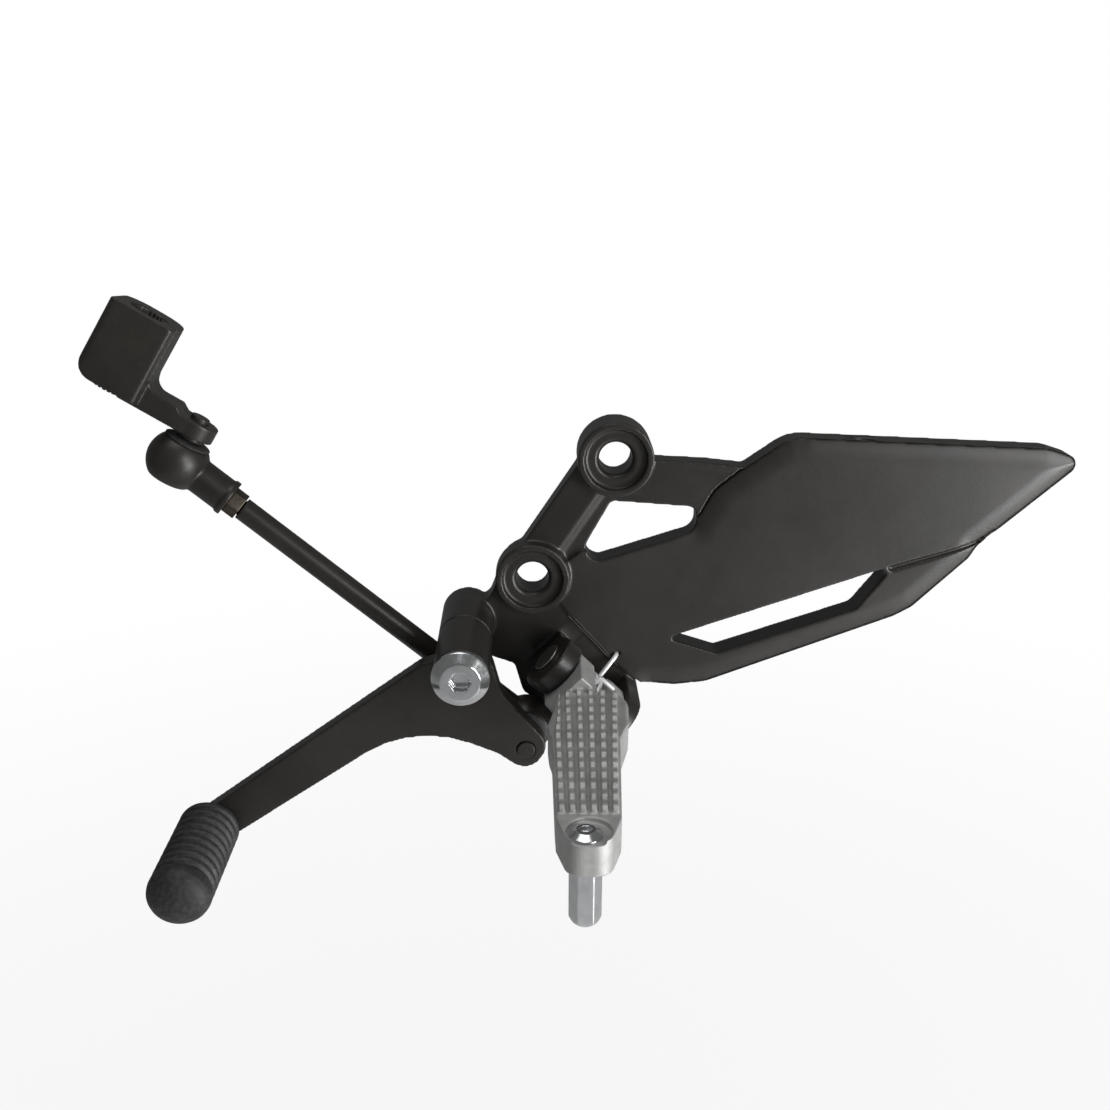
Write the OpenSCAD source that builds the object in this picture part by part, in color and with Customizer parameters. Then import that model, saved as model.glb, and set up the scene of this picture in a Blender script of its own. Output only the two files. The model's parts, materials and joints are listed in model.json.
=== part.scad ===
// Left rider footrest bracket of a sport motorcycle, with heel guard, folding
// footrest, gear lever and the link to the gearbox shaft.
// +X points to the rear, +Z up, and the bracket bolts on at its +Y side.
// The origin is the centre of the lower mounting hole at the mounting face.
// Shapes are drawn in a tilted space: x to the rear, y up, z outboard.

/* [Mounting bosses] */
// distance between the two mounting holes
hole_span = 50; // [46:0.5:56]
// lean of the line through the holes, degrees from level
hole_lean = 56.5; // [50:0.5:62]
// radius of a mounting hole
hole_r = 5.5; // [4.5:0.1:6.5]
// radius of a boss around a mounting hole
boss_r = 12.6; // [11:0.1:14]
// height of a boss from the mounting face
boss_h = 13.5; // [11:0.5:16]
// radius of the counterbore for a bolt head
seat_r = 10.2; // [8:0.1:11]
// depth of the counterbore
seat_deep = 2; // [1:0.5:3]

/* [Bracket body] */
// depth of the arm behind the upper boss
arm_t = 8; // [6:0.5:10]
// depth of the heel guard
guard_t = 9.5; // [7:0.5:12]
// thickness of the guard's outer skin
skin_t = 3.5; // [2.5:0.5:5]
// depth of the groove between the guard and its lower strip
groove_deep = 1.2; // [0.6:0.1:2]
// depth of the web around the lever pivot and the footrest
web_t = 9; // [7:0.5:12]

/* [Lever pivot] */
// place of the lever pivot, rearward and up
pivot = [-22.6, -16.4];
// outside radius of the pivot boss and of the lever hub
pivot_r = 9; // [8:0.5:11]
// outboard end of the pivot boss
pivot_boss_w = 25.2; // [22:0.2:30]
// outboard end of the lever hub
hub_w = 52; // [46:1:60]
// radius of the bearing collar inside the hub
collar_r = 6; // [5:0.1:7]
// radius of the pivot bolt's shank
bolt_r = 4; // [3:0.1:5]
// radius of the pivot bolt's head
bolt_head_r = 9.2; // [8:0.1:10.5]

/* [Footrest hinge] */
// centre of the hinge pin, rearward and up
hinge = [17.3, -37.3];
// distance of the hinge pin from the mounting face
hinge_w = 22; // [20:0.5:26]
// lean of the hinge pin, degrees
hinge_lean = 45; // [35:1:55]
// radius of the hinge pin
pin_r = 4; // [3:0.1:5]
// radius of a clevis ear
ear_r = 10.5; // [9:0.5:12]
// thickness of a clevis ear
ear_t = 6.3; // [5:0.1:8]
// clear width between the ears
ear_gap = 22.4; // [18:0.2:26]

/* [Footrest] */
// distance from the hinge pin to the centre of the tip
tip_at = 98; // [80:1:110]
// radius of the rounded tip
tip_r = 5.4; // [4.5:0.1:7]
// width of the shoulders that meet the ears
shoulder_w = 27.6; // [25:0.2:32]
// distance from the hinge pin to the shoulders
shoulder_at = 14.5; // [12:0.5:18]
// width of the tread at its root
tread_w = 20.6; // [18:0.2:24]
// width of the tread at its end
tread_end_w = 17.6; // [14:0.2:20]
// height of the tread's top over the axis
tread_up = 7.6; // [6:0.2:10]
// depth of the tread's belly under the axis
tread_down = 8; // [6:0.2:10]
// number of tooth rows across the tread
tooth_rows = 6; // [3:1:7]
// distance between two teeth in a row
tooth_pitch = 5.8; // [4:0.2:9]
// height of a tooth
tooth_h = 1.9; // [1:0.1:2.4]
// forward lean of the footrest, degrees
peg_forward = 1.8; // [0:0.1:5]
// upward lean of the footrest, degrees
peg_up = 1.3; // [0:0.1:5]
// across flats of the hanging feeler
feeler_af = 7.8; // [6:0.2:10]
// length of the feeler below the tip
feeler_len = 17; // [8:0.5:30]

/* [Gear lever] */
// inboard face of the lever arm
arm_w0 = 30; // [28:0.5:34]
// outboard face of the lever arm
arm_w1 = 36; // [34:0.5:40]
// centre of the toe peg, rearward and up
toe = [-110.8, -80.2];
// outside radius of the toe rubber
toe_r = 10.2; // [8:0.2:12]
// outboard end of the toe rubber
toe_w = 80; // [65:1:95]
// number of ribs on the toe rubber
toe_ribs = 10; // [5:1:14]
// centre of the lever's rear eye, rearward and up
rear_eye = [-2.6, -52.1];

/* [Shift link] */
// distance of the link's axis from the mounting face
link_w = 17; // [15:0.5:20]
// distance between the two ball centres
link_span = 146.4; // [120:0.5:180]
// lean of the link from level, degrees
link_lean = 41; // [35:0.5:50]
// radius of the link's rod
rod_r = 3.8; // [3:0.1:5]
// radius of a ball housing
housing_r = 9.8; // [8:0.1:12]
// radius of a ball
ball_r = 5; // [4:0.1:6]

/* [Gearbox arm] */
// lean of the upper ball's stud from level, degrees
stud_lean = 58; // [45:1:75]
// turn of the upper stud towards the bracket side, degrees
stud_turn = 8; // [0:1:20]
// distance from the stud to the clamp's bore
shaft_span = 28.3; // [26:0.1:40]
// height of the clamp along its bore
clamp_h = 26; // [18:0.5:30]
// radius of the splined bore
spline_r = 6; // [4.5:0.1:8]

/* [Fits] */
// gap around a pin or collar that turns
run_gap = 0.05; // [0.02:0.01:0.1]
// gap between faces of pieces that move
side_gap = 0.4; // [0.3:0.1:1]

/* [Hidden] */
$fn = 96;
upper = hole_span * [cos(hole_lean), sin(hole_lean)];
link_dir = [-cos(link_lean), sin(link_lean)];
upper_ball = rear_eye + link_span * link_dir;
thread_r = 2.5;
nut_af = 8;
nut_t = 4.4;
thread_tip_r = 2.5;
shank_len = 20.2;
rod_from = shank_len + nut_t + 0.4;
hub_w0 = pivot_boss_w + side_gap;
eye_from = -ear_gap / 2 + side_gap;
coil_wire = 1.8;
coil_r = 6.6;
coil_from = -3.2;
coil_turns = 4;
leg_z = coil_from + (coil_turns - 0.5) * coil_wire;
lug_r = 8.6;
rear_lug_from = coil_from + coil_turns * coil_wire + side_gap;
leg_x = ear_r + 3.2;
arm_seat = 9.4;
arm_thick = 5.2;
arm_deep = 6.9;
clamp_half = 10.3;
clamp_lip = 11;
clamp_back = 12.4;
clamp_foot = 4.2;
pin_head_r = 5.2;
lower_seat = arm_w0 - link_w;
eye_to = coil_from - side_gap;
rib_w = 1.7;
rib_h = 0.9;
rib_from = shoulder_at + 0.6;
tip_down = 3.4;
tip_shift = -0.9;
tip_seat_r = 6.2;
tip_seat_deep = 1.6;
screw_deep = 8;
guard_pts = [
  [9.6, 3.6, 1], [16, 8.4, 1], [56, 20, 4], [61, 29.6, 10], [70.6, 37.4, 3],
  [85.5, 47.9, 14], [172, 43.6, 14], [184.8, 39.4, 3.5], [152.2, 9.6, 1],
  [149.6, 4.9, 2], [131.9, -13, 6], [126, -16.4, 8], [61, -41.1, 8],
  [50, -42.2, 6], [37.7, -41, 0], [26.8, -31.4, 2], [13.2, -15.4, 4], [8, -8, 2]
];
arm_pts = [
  [24, 30, 0], [27, 41, 0], [58, 39.2, 0], [73, 37.4, 0], [74, 32, 0],
  [60, 12, 0], [40, 6, 0], [10, -2, 0], [10, 10, 0]
];
window_pts = [[13.4, 2.2, 4.5], [26.6, 26.2, 2], [55.2, 23.8, 3], [55.6, 15.6, 5]];
slot_pts = [[46.5, -23.8, 1], [64.5, -29.8, 3], [112, -13.6, 4], [124, 2.8, 1.5]];
guard_pocket = [
  [68, 33, 4], [86, 44.6, 12], [170, 40.4, 10], [177, 36.8, 3], [155, 17, 3],
  [122, 6.2, 3], [58, -15.6, 6], [32, -15.6, 6], [26, -4, 6], [60, 9, 8], [62, 22, 8]
];
strip_pocket = [
  [42, -30, 3], [46, -38, 4], [60, -37.6, 4], [124, -13.4, 4], [146, 5.6, 2],
  [127, 1, 2], [115, -16, 3], [65, -33.2, 4]
];
groove_pts = [
  [121.6, 2.2, 0.5], [151, 10.9, 0.5], [157.2, 15.2, 0], [158.4, 14.4, 0],
  [151.6, 9.7, 0.5], [123, 0.4, 0.5]
];
web_pts = [
  [-31.4, -22, 6], [-30, -9.6, 6], [-15.4, -9.4, 4], [-10, 4, 0], [8, 10, 0],
  [11, -6, 2], [14.4, -16, 0], [32, -36, 0], [37, -42.2, 4], [22.6, -57, 3],
  [6, -50, 6], [-3.6, -44.4, 4], [-6.6, -33.2, 2], [-17, -29.4, 6]
];
lever_pts = [
  [-118, -79, 5], [-36.6, -20.2, 4], [-26, -17, 0], [-13.8, -18, 4],
  [-10.6, -31, 12], [5.6, -50.6, 6.4], [-1.6, -61.4, 6.4], [-12, -53.6, 8],
  [-39.4, -41.5, 37], [-108.6, -88, 5]
];

// Unit vector along v.
function unit(v) = v / norm(v);
// Points of corner p, between neighbours a and b, rounded to radius p[2].
function corner(a, p, b) = p[2] <= 0 ? [[p[0], p[1]]] :
  let (
    q = [p[0], p[1]],
    u = unit([a[0], a[1]] - q),
    v = unit([b[0], b[1]] - q),
    half = acos(u * v) / 2,
    c = q + unit(u + v) * p[2] / sin(half),
    s = q + u * p[2] / tan(half),
    e = q + v * p[2] / tan(half),
    a0 = atan2(s[1] - c[1], s[0] - c[0]),
    a1 = atan2(e[1] - c[1], e[0] - c[0]),
    turn = (a1 - a0 + 540) % 360 - 180,
    n = max(2, ceil(abs(turn) / 12))
  )
  [for (i = [0:n]) c + p[2] * [cos(a0 + turn * i / n), sin(a0 + turn * i / n)]];
// An outline given as corners [x, y, radius].
function rounded(p) =
  let (n = len(p))
  [for (i = [0:n - 1]) each corner(p[(i + n - 1) % n], p[i], p[(i + 1) % n])];

// Turns the drawing space, whose z is outboard, into the part's frame.
module outboard() {
  rotate([90, 0, 0])
    children();
}

// A plate with the given outline between two outboard distances.
module slab(pts, w0, w1) {
  translate([0, 0, w0])
    linear_extrude(w1 - w0)
      polygon(rounded(pts));
}

// A round bar along z.
module bar(r, w0, w1) {
  translate([0, 0, w0])
    cylinder(r = r, h = w1 - w0);
}

// A tube along z.
module tube(r, inner, w0, w1) {
  difference() {
    bar(r, w0, w1);
    bar(inner, w0 - 1, w1 + 1);
  }
}

// Places children on a point of the mounting plane.
module at(p) {
  translate([p[0], p[1], 0])
    children();
}

// Hinge space: z along the pin, y outboard, x the way the footrest folds.
module on_hinge() {
  translate([hinge[0], hinge[1], hinge_w])
    rotate([90, 0, hinge_lean])
      children();
}

// Link space: x along the rod from the lower to the upper ball, z outboard.
module on_link() {
  translate([rear_eye[0], rear_eye[1], link_w])
    rotate([0, 0, 180 - link_lean])
      children();
}

// Arm space: z along the upper stud, x towards the clamp, origin at the ball.
module on_arm() {
  translate([upper_ball[0], upper_ball[1], link_w])
    rotate([0, 0, stud_lean])
      rotate([0, 90 + stud_turn, 0])
        rotate([0, 0, 90])
          children();
}

// A six-sided prism across flats af between two heights.
module hex(af, w0, w1) {
  translate([0, 0, w0])
    cylinder(r = af / sqrt(3), h = w1 - w0, $fn = 6);
}

// The beam between the mounting holes, with a sloping face on the window side.
module strut() {
  rotate([90, 0, 90 + hole_lean])
    linear_extrude(hole_span)
      polygon([[-10, 0], [-10, 5], [-2, 9.5], [9, 8.6], [9, 0]]);
}

// A clevis ear between two places along the hinge pin.
module ear(z0, z1) {
  on_hinge() {
    bar(ear_r, z0, z1);
    translate([-ear_r, -hinge_w, z0])
      cube([2 * ear_r, hinge_w, z1 - z0]);
  }
}

module bracket_solid() {
  difference() {
    union() {
      slab(guard_pts, 0, guard_t);
      slab(arm_pts, 0, arm_t);
      slab(web_pts, 0, web_t);
    }
    slab(guard_pocket, -1, guard_t - skin_t);
    slab(strip_pocket, -1, guard_t - skin_t);
  }
  strut();
  bar(boss_r - 1.2, 0, boss_h);
  bar(boss_r, 5, boss_h);
  at(upper)
    bar(boss_r, 0, boss_h);
  at(pivot)
    bar(pivot_r, 0, pivot_boss_w);
  ear(-ear_gap / 2 - ear_t, -ear_gap / 2);
  ear(ear_gap / 2, ear_gap / 2 + ear_t);
}

// One mounting hole with its counterbore and chamfer.
module mounting_hole() {
  bar(hole_r, -1, boss_h + 1);
  bar(seat_r, boss_h - seat_deep, boss_h + 1);
  translate([0, 0, boss_h - seat_deep - 1.1])
    cylinder(r1 = hole_r, r2 = hole_r + 1.1, h = 1.101);
}

module bracket_casting() {
  color("#26262a")
    outboard()
      difference() {
        bracket_solid();
        slab(window_pts, -1, guard_t + 1);
        slab(slot_pts, -1, guard_t + 1);
        slab(groove_pts, guard_t - groove_deep, guard_t + 1);
        mounting_hole();
        at(upper)
          mounting_hole();
        at(pivot)
          bar(bolt_r, -1, pivot_boss_w + 1);
        on_hinge()
          bar(pin_r, -ear_gap, ear_gap);
        on_hinge()
          translate([leg_x - 1.4, guard_t - 3 - hinge_w, leg_z - coil_wire / 2 - 0.2])
            cube([2.8, 4, coil_wire + 0.4]);
      }
}

// The pivot bolt: shank in the boss, conical head outboard of the hub.
module pivot_bolt() {
  color("#c9ccd0")
    outboard()
      at(pivot)
        difference() {
          union() {
            bar(bolt_r, 2, hub_w + 1.2);
            bar(bolt_head_r, hub_w + 1.2, hub_w + 2.4);
            translate([0, 0, hub_w + 2.4])
              cylinder(r1 = bolt_head_r, r2 = 6.3, h = 2.6);
          }
          hex(6, hub_w + 1.8, hub_w + 6);
        }
}

module pivot_collar() {
  color("#9b9ea2")
    outboard()
      at(pivot)
        tube(collar_r, bolt_r, pivot_boss_w, hub_w + 0.4);
}

module pivot_washer() {
  color("#3a3a3e")
    outboard()
      at(pivot)
        tube(pivot_r - 0.6, bolt_r, hub_w + 0.4, hub_w + 1.2);
}

// Rubber ring in a groove at the hub's inboard end.
module inner_seal() {
  color("#141416")
    outboard()
      at(pivot)
        tube(collar_r + 1.4, collar_r + run_gap, hub_w0 + 0.2, hub_w0 + 1.6);
}

module shift_lever() {
  color("#222226")
    outboard() {
      difference() {
        union() {
          slab(lever_pts, arm_w0, arm_w1);
          at(pivot)
            bar(pivot_r, hub_w0, hub_w);
        }
        at(pivot)
          bar(collar_r + run_gap, 0, hub_w + 1);
        at(pivot)
          bar(collar_r + 1.5, 0, hub_w0 + 1.7);
        at(rear_eye)
          bar(3, 0, arm_w1 + 1);
      }
      at(toe)
        bar(5, arm_w1, toe_w - 4);
    }
}

// The ribbed rubber on the toe peg, with a domed end.
module toe_rubber() {
  pitch = (toe_w - arm_w1 - 6) / toe_ribs;
  color("#17171a")
    outboard()
      at(toe)
        rotate_extrude()
          polygon(concat(
            [[0, toe_w - 4], [5, toe_w - 4], [5, arm_w1 + 0.3]],
            [for (i = [0:toe_ribs - 1]) each [
              [toe_r - 1.5, arm_w1 + 0.3 + i * pitch],
              [toe_r, arm_w1 + 0.3 + (i + 0.3) * pitch],
              [toe_r, arm_w1 + 0.3 + (i + 0.7) * pitch]
            ]],
            [for (a = [0:15:90]) [
              toe_r * cos(a), toe_w - 6.5 + 6.5 * sin(a)
            ]]
          ));
}

// A ball stud: ball, neck, collar and threaded end, along z from the ball.
module ball_stud(seat, tip) {
  sphere(r = ball_r);
  bar(2.7, 0, seat - 1.4);
  bar(4.6, 8, seat);
  bar(3, seat, tip);
}

// A ball housing with its shank along x, open towards z.
module housing() {
  difference() {
    union() {
      intersection() {
        sphere(r = housing_r);
        bar(housing_r, -housing_r + 2.4, 6.4);
      }
      rotate([0, 90, 0])
        shank();
    }
    sphere(r = ball_r + run_gap);
    translate([0, 0, 2.6])
      cylinder(r1 = 4.3, r2 = 6, h = 4);
    rotate([0, 90, 0])
      bar(thread_r, 12, shank_len + 1);
  }
}

// The threaded shank of a housing with its end collar, along z.
module shank() {
  bar(5.7, 0, shank_len);
  bar(6.2, shank_len - 1.8, shank_len);
}

// The rubber boot between a housing's mouth and its stud's collar.
module boot() {
  rotate_extrude()
    polygon([
      [4.9, 6.4], [7.2, 6.4], [7.6, 6.9], [7, 7.3], [5.6, 7.6],
      [3.2, 7.6], [3, 7.2], [3.4, 6.9]
    ]);
}

module lower_ball_stud() {
  color("#7c7f83")
    outboard()
      translate([rear_eye[0], rear_eye[1], link_w])
        ball_stud(lower_seat, arm_w1 - link_w + 0.6);
}

module lower_boot() {
  color("#141416")
    outboard()
      translate([rear_eye[0], rear_eye[1], link_w])
        boot();
}

module lower_housing() {
  color("#1d1d20")
    outboard()
      on_link()
        housing();
}

module lower_lock_nut() {
  color("#4d4a44")
    outboard()
      on_link()
        rotate([0, 90, 0])
          lock_nut(shank_len);
}

// A lock nut on the rod's thread, along z.
module lock_nut(from) {
  difference() {
    hex(nut_af, from, from + nut_t);
    bar(thread_r, from - 1, from + nut_t + 1);
  }
}

// The rod: thread in both housings, thick in between.
module shift_rod() {
  color("#232327")
    outboard()
      on_link()
        rotate([0, 90, 0]) {
          bar(thread_r, 12.4, link_span - 12.4);
          bar(rod_r, rod_from, link_span - rod_from);
        }
}

module upper_lock_nut() {
  color("#4d4a44")
    outboard()
      on_link()
        rotate([0, 90, 0])
          lock_nut(link_span - shank_len - nut_t);
}

module upper_housing() {
  color("#1d1d20")
    outboard()
      on_arm()
        housing_towards_rod();
}

// The upper housing: mouth along the stud, shank towards the rod.
module housing_towards_rod() {
  difference() {
    union() {
      intersection() {
        sphere(r = housing_r);
        bar(housing_r, -housing_r + 2.4, 6.4);
      }
      along_rod()
        shank();
    }
    sphere(r = ball_r + run_gap);
    translate([0, 0, 2.6])
      cylinder(r1 = 4.3, r2 = 6, h = 4);
    along_rod()
      bar(thread_r, 12, shank_len + 1);
  }
}

// In arm space, turns z to point along the rod.
module along_rod() {
  rotate([0, 0, -90])
    rotate([0, -90 - stud_turn, 0])
      rotate([0, 0, -stud_lean])
        rotate([0, 0, -link_lean])
          rotate([0, 90, 0])
            children();
}

module upper_boot() {
  color("#141416")
    outboard()
      on_arm()
        boot();
}

module upper_ball_stud() {
  color("#7c7f83")
    outboard()
      on_arm()
        ball_stud(arm_seat, arm_seat + arm_thick + 1.4);
}

// The arm on the gearbox shaft: an eye, a tapered bar and a split clamp.
module gearbox_arm() {
  clamp_from = shaft_span - clamp_half;
  clamp_to = shaft_span + clamp_half;
  clamp = [
    [clamp_from, clamp_lip, 1.5], [clamp_to, clamp_lip, 2.5],
    [clamp_to, -clamp_back, 9], [clamp_from, -clamp_back, 8]
  ];
  color("#202023")
    outboard()
      on_arm()
        difference() {
          union() {
            bar(6.6, arm_seat, arm_seat + arm_thick);
            translate([0, 6.4, 0])
              rotate([90, 0, 0])
                linear_extrude(12.8)
                  polygon(concat(
                    [[0, arm_seat], [shaft_span, arm_seat]],
                    [[shaft_span, arm_seat + arm_deep + clamp_foot]],
                    [for (a = [0:15:90]) [
                      clamp_from - clamp_foot * (1 - cos(a)),
                      arm_seat + arm_deep + clamp_foot * (1 - sin(a))
                    ]],
                    [[7.4, arm_seat + arm_deep], [5, arm_seat + arm_thick]],
                    [[0, arm_seat + arm_thick]]
                  ));
            intersection() {
              slab(clamp, arm_seat + 1.4, arm_seat + 1.4 + clamp_h);
              translate([0, 20, arm_seat + 1.4])
                rotate([90, 0, 0])
                  linear_extrude(40)
                    polygon(rounded([
                      [clamp_from - 1, 0, 0], [clamp_to, 0, 6],
                      [clamp_to, clamp_h, 0.8], [clamp_from - 1, clamp_h, 0]
                    ]));
            }
          }
          bar(3, 0, 60);
          translate([shaft_span, 1.4, 0])
            bar(spline_r, 0, 60);
          translate([0, 4.6, arm_seat + arm_deep + clamp_foot])
            cube([shaft_span, 1.2, 60]);
        }
}

// Footrest space: z along the footrest from the hinge pin, y up.
module on_peg() {
  translate([hinge[0], hinge[1], hinge_w])
    rotate([-peg_up, -peg_forward, 0])
      children();
}

// Half the tread's width at distance z.
function tread_half(z) =
  let (f = (z - 48) / (tip_at - 54))
  (tread_w + (tread_end_w - tread_w) * f) / 2;

// The tread seen from above, from the side and from its end.
module tread_body() {
  plan = [
    [-shoulder_w / 2, shoulder_at, 7], [-shoulder_w / 2 + 0.6, 37, 8],
    [-tread_half(48), 48, 6], [-tread_half(tip_at - 6), tip_at - 6, 3],
    [-tip_r, tip_at + tip_r, tip_r], [tip_r, tip_at + tip_r, tip_r],
    [tread_half(tip_at - 6), tip_at - 6, 3], [tread_half(48), 48, 6],
    [shoulder_w / 2 - 0.6, 37, 8], [shoulder_w / 2, shoulder_at, 7]
  ];
  side = [
    [-6.4, shoulder_at, 0], [-tread_down, 30, 8], [-tread_down, tip_at - 22, 14],
    [-tip_down, tip_at - 8, 8], [-tip_down, tip_at + tip_r + 1, 2],
    [tread_up - 0.6, tip_at + tip_r + 1, 0],
    [tread_up, tip_at - 8, 0], [tread_up, shoulder_at, 3]
  ];
  intersection() {
    rotate([90, 0, 0])
      translate([0, 0, -20])
        linear_extrude(40)
          polygon(rounded(plan));
    rotate([90, 0, 90])
      translate([0, 0, -20])
        linear_extrude(40)
          polygon(rounded(side));
    linear_extrude(120)
      polygon(rounded([
        [-shoulder_w / 2, tread_up, 2], [-shoulder_w / 2, -2, 5],
        [-7, -tread_down, 5], [7, -tread_down, 5],
        [shoulder_w / 2, -2, 5], [shoulder_w / 2, tread_up, 2]
      ]));
  }
}

// A toothed rib along the tread, centred at its root on x.
module tooth_row(x) {
  lean = atan((tread_end_w - tread_w) / tread_w * x / (tip_at - 54));
  count = floor((tip_at - tip_seat_r - 1 - rib_from) / tooth_pitch);
  translate([x, tread_up - 0.2, rib_from])
    rotate([0, lean, 0])
      rotate([90, 0, 90])
        translate([0, 0, -rib_w / 2])
          linear_extrude(rib_w)
            polygon(concat(
              [[-0.5, 0]],
              [for (i = [0:count - 1]) each [
                [rib_h, (i + 0.1) * tooth_pitch], [tooth_h, (i + 0.45) * tooth_pitch],
                [tooth_h, (i + 0.7) * tooth_pitch], [rib_h, (i + 0.9) * tooth_pitch]
              ]],
              [[-0.5, count * tooth_pitch]]
            ));
}

module footrest() {
  color("#77797b")
    outboard()
      difference() {
        union() {
          lug(eye_from, eye_to);
          lug(rear_lug_from, -eye_from);
          on_peg() {
            tread_body();
            for (i = [0:tooth_rows - 1])
              tooth_row((i - (tooth_rows - 1) / 2) * tread_w / (tooth_rows - 0.6));
          }
        }
        on_hinge()
          bar(pin_r + run_gap, eye_from - 1, 1 - eye_from);
        on_tip() {
          translate([-tip_shift, 0, 0])
            bar(tip_seat_r, tread_up - tip_seat_deep, 20);
          bar(thread_tip_r, -20, 20);
        }
      }
}

// A lug of the footrest between two places along the hinge pin.
module lug(z0, z1) {
  on_hinge() {
    bar(lug_r, z0, z1);
    translate([-lug_r, 0, z0])
      cube([2 * lug_r, shoulder_at + 3, z1 - z0]);
  }
}

// Tip space: z up along the feeler's screw.
module on_tip() {
  on_peg()
    translate([tip_shift, 0, tip_at])
      rotate([-90, 0, 0])
        children();
}

module hinge_pin() {
  color("#a9abae")
    outboard()
      on_hinge() {
        bar(pin_r, -ear_gap / 2 - ear_t, ear_gap / 2 + ear_t + 2.4);
        bar(pin_head_r, -ear_gap / 2 - ear_t - 0.9, -ear_gap / 2 - ear_t);
      }
}

module pin_clip() {
  color("#8f9194")
    outboard()
      on_hinge()
        tube(6, pin_r, ear_gap / 2 + ear_t, ear_gap / 2 + ear_t + 1);
}

// The torsion spring: a coil on the pin, a leg hooked in the bracket's notch
// and the other end laid along the coil.
module return_spring() {
  wire_r = coil_wire / 2;
  leg_r = wire_r - 0.1;
  bend = [leg_x, guard_t + 0.4 - hinge_w];
  root = coil_r * [cos(-55), sin(-55)];
  run = bend - root;
  color("#b9bbbd")
    outboard()
      on_hinge() {
        for (i = [0:coil_turns - 1])
          translate([0, 0, coil_from + (i + 0.5) * coil_wire])
            rotate_extrude()
              translate([coil_r, 0])
                circle(r = wire_r + 0.02, $fn = 24);
        rotate([0, 0, 45])
          translate([coil_r + coil_wire + 0.05, 0, coil_from])
            cylinder(r = wire_r, h = coil_turns * coil_wire, $fn = 24);
        translate([root[0], root[1], leg_z])
          rotate([0, 90, atan2(run[1], run[0])])
            cylinder(r = leg_r, h = norm(run), $fn = 24);
        translate([bend[0], bend[1], leg_z]) {
          sphere(r = leg_r + 0.1, $fn = 24);
          rotate([90, 0, 0])
            cylinder(r = leg_r, h = 3.2, $fn = 24);
        }
      }
}

// The hexagonal feeler that hangs from the tip, hollow for its screw.
module feeler() {
  bottom = -tip_down - feeler_len;
  color("#b3b5b7")
    outboard()
      on_tip()
        difference() {
          hex(feeler_af, bottom, -tip_down);
          bar(thread_tip_r, -tip_down - screw_deep, 0);
          translate([0, 0, bottom])
            difference() {
              bar(6, -1, 2);
              cylinder(r1 = 3, r2 = 5, h = 2.01);
            }
        }
}

// The button-head screw that holds the feeler, with its hexagon socket.
module feeler_screw() {
  seat = tread_up - tip_seat_deep;
  color("#8f9194")
    outboard()
      on_tip()
        difference() {
          union() {
            bar(thread_tip_r, -tip_down - screw_deep, seat);
            bar(4.6, seat, seat + 0.5);
            translate([0, 0, seat + 0.5])
              cylinder(r1 = 4.6, r2 = 2.6, h = 1.3);
          }
          hex(3, seat + 0.3, 20);
        }
}

bracket_casting();
pivot_bolt();
pivot_collar();
pivot_washer();
inner_seal();
shift_lever();
toe_rubber();
lower_ball_stud();
lower_boot();
lower_housing();
lower_lock_nut();
shift_rod();
upper_lock_nut();
upper_housing();
upper_boot();
upper_ball_stud();
gearbox_arm();
footrest();
hinge_pin();
pin_clip();
return_spring();
feeler();
feeler_screw();
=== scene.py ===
# A sport motorcycle's left footrest bracket: looks, light and camera.
# Metres, in the part's own frame: +X to the rear, +Z up, -Y outboard.
import json
import math

import bmesh
import bpy
from mathutils import Matrix, Vector

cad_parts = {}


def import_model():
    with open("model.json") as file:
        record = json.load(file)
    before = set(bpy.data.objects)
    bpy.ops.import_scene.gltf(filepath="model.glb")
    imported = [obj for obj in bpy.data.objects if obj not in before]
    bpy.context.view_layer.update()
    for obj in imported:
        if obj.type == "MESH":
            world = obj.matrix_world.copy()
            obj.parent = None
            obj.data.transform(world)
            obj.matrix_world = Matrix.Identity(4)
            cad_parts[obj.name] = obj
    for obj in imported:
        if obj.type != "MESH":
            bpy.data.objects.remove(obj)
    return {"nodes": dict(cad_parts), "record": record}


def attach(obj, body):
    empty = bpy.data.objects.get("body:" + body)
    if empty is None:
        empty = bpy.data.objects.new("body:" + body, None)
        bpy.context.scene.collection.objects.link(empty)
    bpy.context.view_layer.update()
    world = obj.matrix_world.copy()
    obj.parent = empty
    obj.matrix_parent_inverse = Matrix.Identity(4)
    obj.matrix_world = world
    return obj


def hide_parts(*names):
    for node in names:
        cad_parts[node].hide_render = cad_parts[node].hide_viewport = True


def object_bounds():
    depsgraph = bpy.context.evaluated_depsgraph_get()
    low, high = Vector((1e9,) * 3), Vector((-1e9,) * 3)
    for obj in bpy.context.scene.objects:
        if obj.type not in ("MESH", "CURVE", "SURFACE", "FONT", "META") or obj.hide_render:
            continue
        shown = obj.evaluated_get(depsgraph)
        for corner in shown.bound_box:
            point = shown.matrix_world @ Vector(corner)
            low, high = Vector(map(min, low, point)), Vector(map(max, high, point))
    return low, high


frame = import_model()
cad_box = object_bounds()
nodes = frame["nodes"]
scene = bpy.context.scene

MM = 0.001
WHITE = (1.0, 1.0, 1.0, 1.0)
bodies = frame["record"]["behaviour"]["bodies"]
body_of = {node: body for body, members in bodies.items() for node in members}
slot_of = {row["node"]: row["material_slot"] for row in frame["record"]["subparts"]}
joint_of = {joint["name"]: joint for joint in frame["record"]["behaviour"]["joints"]}
mount_of = {mount["name"]: mount for mount in frame["record"]["mounts"]}
OUTBOARD = Vector((0.0, -1.0, 0.0))


# Materials

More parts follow.
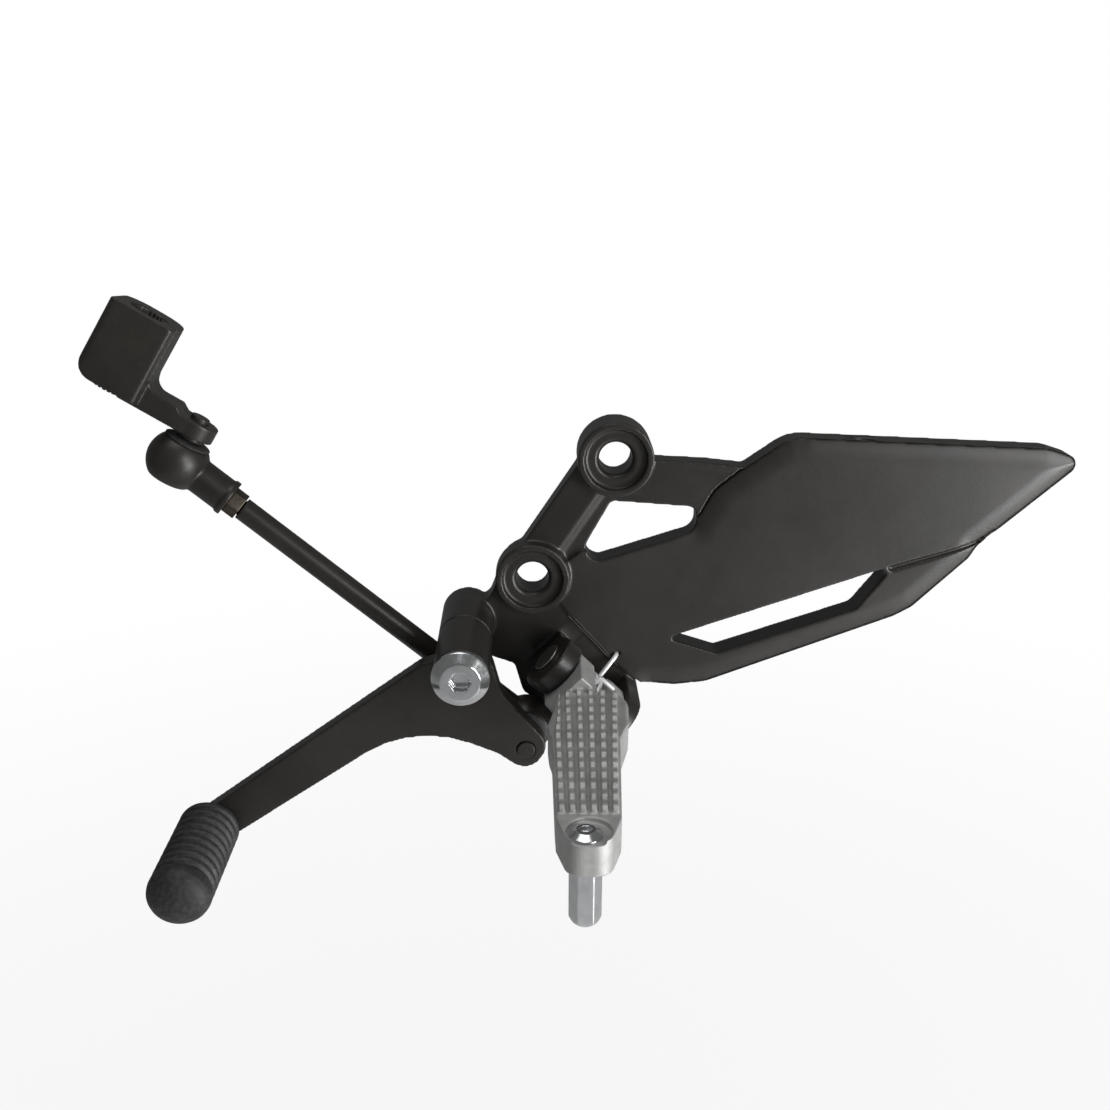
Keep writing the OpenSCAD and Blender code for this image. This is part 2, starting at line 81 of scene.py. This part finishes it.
class Shader:
    """A node material with one Principled shader, textured in the object's own space."""

    def __init__(self, name):
        self.material = bpy.data.materials.new(name)
        self.material.use_nodes = True
        self.tree = self.material.node_tree
        self.principled = self.tree.nodes["Principled BSDF"]
        self.place = self.add("ShaderNodeTexCoord").outputs["Object"]

    def add(self, kind, inputs=None, **settings):
        """A new node with the given input values and settings."""
        node = self.tree.nodes.new(kind)
        for key, value in settings.items():
            setattr(node, key, value)
        for name, value in (inputs or {}).items():
            node.inputs[name].default_value = value
        return node

    def join(self, source, target):
        self.tree.links.new(source, target)

    def noise(self, scale, detail=4.0, roughness=0.6):
        texture = self.add("ShaderNodeTexNoise", {"Scale": scale, "Detail": detail, "Roughness": roughness})
        self.join(self.place, texture.inputs["Vector"])
        return texture.outputs["Fac"]

    def steps(self, value, low, high, to_low=0.0, to_high=1.0):
        """The value's stretch from low to high, mapped to another stretch."""
        limits = {"From Min": low, "From Max": high, "To Min": to_low, "To Max": to_high}
        node = self.add("ShaderNodeMapRange", limits)
        self.join(value, node.inputs["Value"])
        return node.outputs["Result"]

    def mix(self, fac, first, second):
        """A blend of two colours, each a tuple or a socket."""
        node = self.add("ShaderNodeMix", data_type="RGBA")
        for name, value in (("A", first), ("B", second)):
            socket = next(s for s in node.inputs if s.name == name and s.type == "RGBA")
            if isinstance(value, tuple):
                socket.default_value = (*value, 1.0)
            else:
                self.join(value, socket)
        self.join(fac, node.inputs["Factor"])
        return next(s for s in node.outputs if s.type == "RGBA")

    def product(self, first, second):
        node = self.add("ShaderNodeMath", operation="MULTIPLY")
        self.join(first, node.inputs[0])
        self.join(second, node.inputs[1])
        return node.outputs[0]

    def bump(self, height, depth):
        """Relief of the given depth in millimetres."""
        node = self.add("ShaderNodeBump", {"Strength": 1.0, "Distance": depth * MM})
        self.join(height, node.inputs["Height"])
        return node.outputs["Normal"]

    def worn(self):
        """Where convex edges are rubbed."""
        geometry = self.add("ShaderNodeNewGeometry")
        return self.steps(geometry.outputs["Pointiness"], 0.54, 0.62)

    def finish(self, colour, roughness, normal, **constants):
        self.join(colour, self.principled.inputs["Base Color"])
        self.join(roughness, self.principled.inputs["Roughness"])
        self.join(normal, self.principled.inputs["Normal"])
        for name, value in constants.items():
            self.principled.inputs[name.replace("_", " ")].default_value = value
        return self.material


SPECK_PALENESS = 3.2
RUBBED_PALENESS = 4.0
PEEL_DEPTH = 0.02
RUBBER_GRAIN_DEPTH = 0.03


def black_paint(name, dark, light, shine):
    """Satin black paint: cloudy tone, fine orange peel, pale specks and rubbed edges."""
    s = Shader(name)
    clouds = s.noise(38.0, 5.0, 0.65)
    tone = s.mix(s.steps(clouds, 0.35, 0.7), dark, light)
    specks = s.steps(s.noise(900.0, 2.0, 0.5), 0.72, 0.8, 0.0, 0.35)
    tone = s.mix(specks, tone, tuple(SPECK_PALENESS * c for c in light))
    rub = s.product(s.worn(), s.steps(s.noise(160.0, 4.0, 0.7), 0.35, 0.6, 0.0, 0.5))
    tone = s.mix(rub, tone, tuple(RUBBED_PALENESS * c for c in light))
    rough = s.steps(s.noise(60.0, 6.0, 0.7), 0.3, 0.7, shine, shine + 0.06)
    peel = s.bump(s.noise(1400.0, 3.0, 0.5), PEEL_DEPTH)
    return s.finish(tone, rough, peel, Specular_IOR_Level=0.5)


def bare_metal(name, dark, light, rough_low, rough_high, grain, pits=0.03, metallic=1.0):
    """Metal with a cloudy tone, and a grain of the given scale and depth."""
    s = Shader(name)
    clouds = s.noise(grain * 0.2, 5.0, 0.7)
    tone = s.mix(s.steps(clouds, 0.3, 0.7), dark, light)
    fine = s.noise(grain, 4.0, 0.6)
    rough = s.steps(fine, 0.3, 0.7, rough_low, rough_high)
    relief = s.bump(fine, pits)
    return s.finish(tone, rough, relief, Metallic=metallic)


def rubber_skin(name, dark, light):
    """Dusty black rubber."""
    s = Shader(name)
    dust = s.product(s.noise(70.0, 6.0, 0.7), s.noise(700.0, 3.0, 0.6))
    tone = s.mix(s.steps(dust, 0.2, 0.42), dark, light)
    rough = s.steps(s.noise(120.0), 0.3, 0.7, 0.48, 0.66)
    relief = s.bump(s.noise(1600.0, 3.0), RUBBER_GRAIN_DEPTH)
    return s.finish(tone, rough, relief)


MATERIALS = {
    "black_casting": black_paint("casting_paint", (0.015, 0.0135, 0.0122), (0.024, 0.0215, 0.0195), 0.33),
    "black_lever": black_paint("lever_paint", (0.0155, 0.0135, 0.012), (0.026, 0.0235, 0.021), 0.36),
    "black_steel": black_paint("steel_paint", (0.014, 0.0125, 0.011), (0.027, 0.0235, 0.020), 0.36),
    "dark_steel": bare_metal("dark_steel", (0.05, 0.045, 0.04), (0.14, 0.115, 0.09), 0.35, 0.55, 900.0),
    "dull_steel": bare_metal("dull_steel", (0.30, 0.29, 0.28), (0.46, 0.46, 0.45), 0.30, 0.45, 700.0),
    "bright_steel": bare_metal(
        "bright_zinc", (0.58, 0.59, 0.60), (0.74, 0.75, 0.76), 0.15, 0.25, 800.0, 0.004
    ),
    "cast_metal": bare_metal(
        "cast_aluminium", (0.40, 0.40, 0.395), (0.56, 0.56, 0.55), 0.46, 0.6, 700.0, 0.02, 0.5
    ),
    "rubber": rubber_skin("rubber_skin", (0.018, 0.017, 0.017), (0.055, 0.052, 0.050)),
}


# Pieces

def linked(name, data):
    """A new object in the scene."""
    thing = bpy.data.objects.new(name, data)
    scene.collection.objects.link(thing)
    return thing


def put(name, mesh, node):
    """A piece that stands for a CAD node and rides on its body."""
    piece = linked(name, mesh)
    mesh.materials.clear()
    mesh.materials.append(MATERIALS[slot_of[node]])
    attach(piece, body_of[node])
    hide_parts(node)
    return piece


def baked(holder):
    """The final mesh of an object, which is then removed."""
    depsgraph = bpy.context.evaluated_depsgraph_get()
    mesh = bpy.data.meshes.new_from_object(holder.evaluated_get(depsgraph))
    bpy.data.objects.remove(holder)
    return mesh


def evaluated(mesh, *modifiers):
    """The mesh after the given modifiers, each a kind and its settings."""
    holder = linked("holder", mesh)
    for kind, settings in modifiers:
        modifier = holder.modifiers.new(kind.lower(), kind)
        for key, value in settings.items():
            setattr(modifier, key, value)
    return baked(holder)


def soft_edged(node, voxel, rounds, keep=0.4, reshape=None):
    """A CAD node fused into one skin with worn, rounded edges: voxel size in
    millimetres, rounds of smoothing and the share of triangles to keep."""
    skin = evaluated(
        nodes[node].data.copy(),
        ("REMESH", {"mode": "VOXEL", "voxel_size": voxel * MM, "use_smooth_shade": True}),
        ("SMOOTH", {"factor": 0.5, "iterations": rounds}),
    )
    if reshape:
        reshape(skin)
    skin = evaluated(skin, ("DECIMATE", {"ratio": keep}))
    skin.shade_smooth()
    return skin


def joined(*meshes):
    """One mesh that holds all the given ones."""
    both = bmesh.new()
    for mesh in meshes:
        both.from_mesh(mesh)
    result = bpy.data.meshes.new("joined")
    both.to_mesh(result)
    both.free()
    result.shade_smooth()
    return result


def wire(path, radius):
    """A round wire along the points of a path, with closed ends, in millimetres."""
    curve = bpy.data.curves.new("wire", "CURVE")
    curve.dimensions = "3D"
    curve.bevel_depth = radius * MM
    curve.bevel_resolution = 4
    curve.use_fill_caps = True
    line = curve.splines.new("POLY")
    line.points.add(len(path) - 1)
    for point, place in zip(line.points, path):
        point.co = (*(MM * c for c in place), 1.0)
        point.radius = 1.0
    result = baked(linked("holder", curve))
    result.shade_smooth()
    return result


def rounded_path(path, reach, steps=5):
    """The path with each inner corner replaced by a short curve."""
    result = [Vector(path[0])]
    for before, corner, after in zip(path, path[1:], path[2:]):
        start = corner + min(reach, (before - corner).length / 2) * (before - corner).normalized()
        end = corner + min(reach, (after - corner).length / 2) * (after - corner).normalized()
        for i in range(steps + 1):
            t = i / steps
            result.append((1 - t) ** 2 * start + 2 * t * (1 - t) * corner + t * t * end)
    result.append(Vector(path[-1]))
    return result


# Shapes that the photograph shows and the CAD leaves plain, in millimetres

GUARD_RIM = [
    (55, 18), (61, 29.6), (64, 32.4), (70.6, 37.4), (80, 44), (85.5, 46.6), (92, 47.5), (172, 43.6),
    (181, 41), (184, 38.6), (152.2, 9.6), (151, 6.5), (149, 3.8), (131.9, -13), (126, -16.4),
    (61, -41.1), (52, -42.2), (42, -41.5),
]
GUARD_FRONT = -9.5
GUARD_START = 34
RIM_REACH = 8.0
RIM_DROP = 1.7
RIM_DEPTH = 1.2
RIM_SLACK = 0.3


def roll_guard_rim(skin):
    """Rounds the guard's front rim, as the casting's is."""
    ends = [Vector(point) for point in GUARD_RIM]
    pairs = list(zip(ends, ends[1:]))
    front = GUARD_FRONT * MM
    for vertex in skin.vertices:
        off_the_face = vertex.co.y > front + RIM_DEPTH * MM or vertex.co.y < front - RIM_SLACK * MM
        if off_the_face or vertex.co.x < GUARD_START * MM:
            continue
        place = Vector((vertex.co.x, vertex.co.z)) / MM
        nearest = RIM_REACH
        for start, end in pairs:
            along = end - start
            t = max(0.0, min(1.0, (place - start).dot(along) / along.length_squared))
            nearest = min(nearest, (place - start - t * along).length)
        if nearest < RIM_REACH:
            inward = 1 - nearest / RIM_REACH
            vertex.co.y += RIM_DROP * MM * inward ** 2


# The hinge pin's own axes: across it, outboard and along it
HINGE_PLACE = Vector(joint_of["footrest_fold"]["pos_m"]) / MM
HINGE_ALONG = -Vector(joint_of["footrest_fold"]["axis"])
HINGE_AXES = Matrix((OUTBOARD.cross(HINGE_ALONG), OUTBOARD, HINGE_ALONG)).transposed()
EAR_OUTER = -19.0
EAR_INNER = -10.0
EAR_LENGTH = 13.0
EAR_HALF = 11.6
EAR_NARROWING = 0.42


def by_hinge(radius, angle, along):
    """A point around the hinge pin."""
    spot = Vector((radius * math.cos(angle), radius * math.sin(angle), along))
    return HINGE_PLACE + HINGE_AXES @ spot


def taper_front_ear(skin):
    """Narrows the front ear towards the web, behind its round end."""
    for vertex in skin.vertices:
        spot = HINGE_AXES.transposed() @ (vertex.co / MM - HINGE_PLACE)
        on_ear = EAR_OUTER < spot.z < EAR_INNER and -EAR_LENGTH < spot.y < 0.0
        if on_ear and abs(spot.x) < EAR_HALF:
            spot.x *= 1 - EAR_NARROWING * math.sin(-spot.y / EAR_LENGTH * math.pi / 2)
            vertex.co = MM * (HINGE_PLACE + HINGE_AXES @ spot)


def shape_casting(skin):
    roll_guard_rim(skin)
    taper_front_ear(skin)


PEG_TURN = Matrix.Rotation(math.radians(1.8), 3, "Z") @ Matrix.Rotation(math.radians(1.3), 3, "X")
TREAD_START = 12.5
TREAD_RISE = 2.0
TREAD_HALF = 13.0
ARC_END = 44.0
ARC_FADE = 26.0
ARC_DEPTH = 5.0
ARC_BEND = 2.5
FRONT_SIDE = -9.3
FRONT_SLIMMING = 0.7


def shape_footrest(skin):
    """Draws the tread's inboard corners back into an arc and slims its front side."""
    for vertex in skin.vertices:
        spot = PEG_TURN.transposed() @ (vertex.co / MM - HINGE_PLACE)
        out = -spot.y
        if out < TREAD_START or out > ARC_END:
            continue
        near = min(1.0, (out - TREAD_START) / TREAD_RISE) * min(1.0, (ARC_END - out) / ARC_FADE)
        spot.y -= ARC_DEPTH * near * min(1.0, abs(spot.x) / TREAD_HALF) ** ARC_BEND
        if spot.x < FRONT_SIDE:
            spot.x += (FRONT_SIDE - spot.x) * FRONT_SLIMMING * near
        vertex.co = MM * (HINGE_PLACE + PEG_TURN @ spot)


WIRE_RADIUS = 0.82
COIL_RADIUS = 6.6
COIL_START = -2.6
COIL_LENGTH = 5.7
BAR_RADIUS = 13.4
BAR_ANGLE = math.radians(41)
LEG_BEND = (13.7, -12.1, 3.1)
LEG_HOOK = (0.0, 2.8, 0.0)
LEG_ROUNDING = 1.2


def return_spring():
    """The torsion spring: a bar beside the coil, the turns and a straight leg into its notch."""
    turns = [math.radians(a) for a in range(85, 1021, 12)]
    path = [by_hinge(BAR_RADIUS, BAR_ANGLE, 3.2), by_hinge(BAR_RADIUS, BAR_ANGLE, -2.0)]
    path += [by_hinge(12.6, math.radians(43), -2.7), by_hinge(8.2, math.radians(66), -2.8)]
    for angle in turns:
        share = (angle - turns[0]) / (turns[-1] - turns[0])
        path.append(by_hinge(COIL_RADIUS, angle, COIL_START + COIL_LENGTH * share))
    bend = HINGE_PLACE + HINGE_AXES @ Vector(LEG_BEND)
    leg = rounded_path([path[-1], bend, bend + Vector(LEG_HOOK)], LEG_ROUNDING)
    return wire(path + leg[1:], WIRE_RADIUS)


# The clamp's bore, with its axes across, over and along it
CLAMP_PLACE = Vector(mount_of["gear_shaft"]["pos_m"]) / MM
CLAMP_ALONG = Vector(mount_of["gear_shaft"]["axis"])
CLAMP_ACROSS = OUTBOARD.cross(CLAMP_ALONG).normalized()
CLAMP_OVER = CLAMP_ALONG.cross(CLAMP_ACROSS)
CLAMP_RADIUS = mount_of["gear_shaft"]["dims"]["r_mm"]
CLAMP_ENDS = (-14.0, 12.6)
TOOTH_COUNT = 26
TOOTH_ROOT = CLAMP_RADIUS + 0.3
TOOTH_TIP = CLAMP_RADIUS - 0.65
TOOTH_HALF_ANGLE = 0.085


def spline_teeth():
    """Teeth on the wall of the clamp's bore."""
    profile = ((-TOOTH_HALF_ANGLE, TOOTH_ROOT), (0.0, TOOTH_TIP), (TOOTH_HALF_ANGLE, TOOTH_ROOT))
    corners, faces = [], []
    for k in range(TOOTH_COUNT):
        middle = 2 * math.pi * (k + 0.5) / TOOTH_COUNT
        base = len(corners)
        for along in CLAMP_ENDS:
            for turn, radius in profile:
                across = radius * math.cos(middle + turn)
                over = radius * math.sin(middle + turn)
                spot = CLAMP_PLACE + across * CLAMP_ACROSS + over * CLAMP_OVER + along * CLAMP_ALONG
                corners.append(MM * spot)
        faces += [
            (base, base + 1, base + 4, base + 3), (base + 1, base + 2, base + 5, base + 4),
            (base + 2, base, base + 3, base + 5), (base + 2, base + 1, base), (base + 3, base + 4, base + 5),
        ]
    teeth = bpy.data.meshes.new("teeth")
    teeth.from_pydata(corners, [], faces)
    return teeth


FLASH_LEVEL = -9.45
FLASH_RADIUS = 0.17
FLASH_LINES = (
    ((12.3, -14.9), (20.4, -23.9), (28.2, -32.9)),
    ((14.6, -16.0), (24.3, -27.0), (29.4, -34.0)),
)


def flash_lines():
    """Two thin casting lines where the guard meets the web."""
    return [wire([(x, FLASH_LEVEL, z) for x, z in line], FLASH_RADIUS) for line in FLASH_LINES]


# Voxel size in millimetres and rounds of smoothing
SOFT_EDGED = {
    "shift_lever": (0.5, 3),
    "pivot_bolt": (0.25, 2),
    "lower_housing": (0.35, 3),
    "upper_housing": (0.35, 3),
    "shift_rod": (0.4, 2),
    "lower_lock_nut": (0.18, 2),
    "upper_lock_nut": (0.18, 2),
    "lower_ball_stud": (0.25, 2),
    "upper_ball_stud": (0.25, 2),
    "lower_boot": (0.2, 2),
    "upper_boot": (0.2, 2),
    "hinge_pin": (0.25, 2),
    "feeler": (0.25, 2),
    "feeler_screw": (0.18, 2),
    "toe_rubber": (0.35, 3),
}
for node, (voxel, rounds) in SOFT_EDGED.items():
    put(node + "_skin", soft_edged(node, voxel, rounds), node)

casting = soft_edged("bracket_casting", 0.5, 6, 0.33, shape_casting)
put("bracket_casting_skin", joined(casting, *flash_lines()), "bracket_casting")
arm = soft_edged("gearbox_arm", 0.35, 4)
put("gearbox_arm_skin", joined(arm, spline_teeth()), "gearbox_arm")
put("footrest_skin", soft_edged("footrest", 0.3, 3, 0.45, shape_footrest), "footrest")
spring = put("return_spring_wire", return_spring(), "return_spring")
spring.data.materials[0] = bare_metal(
    "spring_zinc", (0.72, 0.72, 0.73), (0.90, 0.90, 0.90), 0.28, 0.4, 800.0, 0.002, 0.35
)

REPLACED = {*SOFT_EDGED, "bracket_casting", "gearbox_arm", "footrest", "return_spring"}
for node, piece in nodes.items():
    if node not in REPLACED:
        piece.data.materials.clear()
        piece.data.materials.append(MATERIALS[slot_of[node]])


# Floor, light and camera

FLOOR_SIZE = 6.0
FLOOR_DROP = 0.42
FLOOR_WHITE = (0.93, 0.93, 0.93, 1.0)
FADE_START = 0.1
FADE_END = 1.4
FADE_NEAR = 0.86


def floor():
    """A pale floor whose far part fades to the white of the backdrop."""
    low = cad_box[0][2] - FLOOR_DROP
    bpy.ops.mesh.primitive_plane_add(size=FLOOR_SIZE, location=(0.0, 0.0, low))
    plane = bpy.context.object
    plane.name = "floor"
    s = Shader("floor_white")
    s.principled.inputs["Base Color"].default_value = FLOOR_WHITE
    s.principled.inputs["Roughness"].default_value = 0.9
    s.principled.inputs["Specular IOR Level"].default_value = 0.1
    glow = s.add("ShaderNodeEmission", {"Color": WHITE})
    length = s.add("ShaderNodeVectorMath", operation="LENGTH")
    s.join(s.place, length.inputs[0])
    limits = {"From Min": FADE_START, "From Max": FADE_END, "To Min": FADE_NEAR}
    fade = s.add("ShaderNodeMapRange", limits, interpolation_type="SMOOTHSTEP")
    s.join(length.outputs["Value"], fade.inputs["Value"])
    path = s.add("ShaderNodeLightPath")
    seen = s.product(fade.outputs["Result"], path.outputs["Is Camera Ray"])
    blend = s.add("ShaderNodeMixShader")
    s.join(seen, blend.inputs["Fac"])
    s.join(s.principled.outputs[0], blend.inputs[1])
    s.join(glow.outputs[0], blend.inputs[2])
    s.join(blend.outputs[0], s.tree.nodes["Material Output"].inputs["Surface"])
    plane.data.materials.append(s.material)


ROOM_LIGHT = 0.15


def world():
    """Soft grey room light; white where the camera looks past the floor."""
    sky = bpy.data.worlds.new("room")
    scene.world = sky
    sky.use_nodes = True
    tree = sky.node_tree
    background = tree.nodes["Background"]
    background.inputs["Color"].default_value = WHITE
    path = tree.nodes.new("ShaderNodeLightPath")
    level = tree.nodes.new("ShaderNodeMapRange")
    level.inputs["To Min"].default_value = ROOM_LIGHT
    level.inputs["To Max"].default_value = 1.0
    tree.links.new(path.outputs["Is Camera Ray"], level.inputs["Value"])
    tree.links.new(level.outputs["Result"], background.inputs["Strength"])


def area(name, place, aim, size, power):
    """A rectangular lamp that the camera doesn't see."""
    lamp = bpy.data.lights.new(name, "AREA")
    lamp.shape = "RECTANGLE"
    lamp.size, lamp.size_y = size
    lamp.energy = power
    holder = linked(name, lamp)
    holder.location = place
    holder.visible_camera = False
    direction = Vector(aim) - Vector(place)
    holder.rotation_euler = direction.to_track_quat("-Z", "Y").to_euler()


CAMERA_AIM = Vector((0.00787, 0.0, 0.00412))
CAMERA_FORWARD = Vector((0.020, 0.9365, -0.350)).normalized()
CAMERA_DISTANCE = 0.4


def camera():
    """The photograph's view, looking down about 20 degrees."""
    right = CAMERA_FORWARD.cross(Vector((0.0, 0.0, 1.0))).normalized()
    up = right.cross(CAMERA_FORWARD)
    place = CAMERA_AIM - CAMERA_DISTANCE * CAMERA_FORWARD
    lens = bpy.data.cameras.new("camera")
    lens.lens = 37.3
    lens.sensor_width = 36.0
    lens.clip_start = 0.01
    view = linked("camera", lens)
    turn = Matrix((right, up, -CAMERA_FORWARD)).transposed().to_4x4()
    view.matrix_world = Matrix.Translation(place) @ turn
    scene.camera = view


floor()
world()
area("key", (0.80, -0.67, -0.20), (0.06, 0.0, 0.0), (0.36, 0.42), 7.0)
area("fill", (0.68, -0.74, 0.27), (0.05, 0.0, 0.0), (0.32, 0.32), 3.4)
area("top", (-0.1, -0.1, 1.0), (0.0, 0.0, 0.0), (0.8, 0.6), 3.0)
area("low", (0.62, -0.48, -0.45), (0.02, -0.08, -0.04), (0.55, 0.55), 1.4)
camera()
scene.view_settings.view_transform = "Standard"
